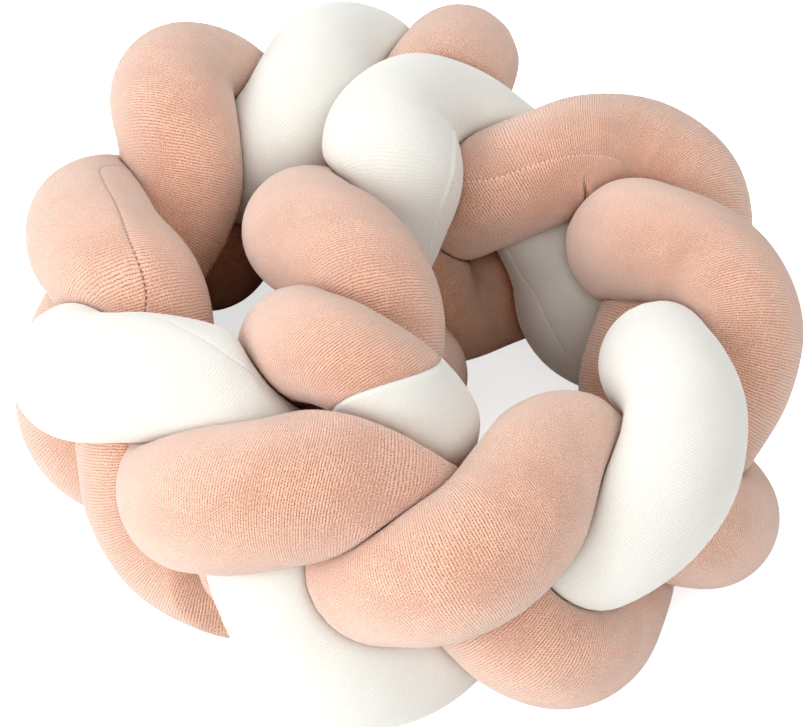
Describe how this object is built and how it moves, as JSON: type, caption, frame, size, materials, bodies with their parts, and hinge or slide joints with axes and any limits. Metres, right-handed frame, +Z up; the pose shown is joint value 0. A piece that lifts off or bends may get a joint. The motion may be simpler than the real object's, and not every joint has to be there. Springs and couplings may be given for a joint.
{
  "type": "braided crib bumper",
  "caption": "Plaited crib bumper of stuffed ribbed plush tubes in blush and ivory, stood on its edge and wound into a coil.",
  "frame": {"origin": "on the floor, under the middle of the coil", "axes": "+Z up from the floor, -Y towards the front of the coil, +X to the right seen from the front"},
  "size_m": [0.5094, 0.561, 0.2426],
  "materials": {
    "blush": "ribbed short-pile plush, blush",
    "ivory": "ribbed short-pile plush, ivory"
  },
  "bodies": {
    "root": {"blush_tube_a": "blush", "ivory_end": "ivory", "ivory_tube": "ivory", "blush_tube_b": "blush"}
  },
  "joints": []
}
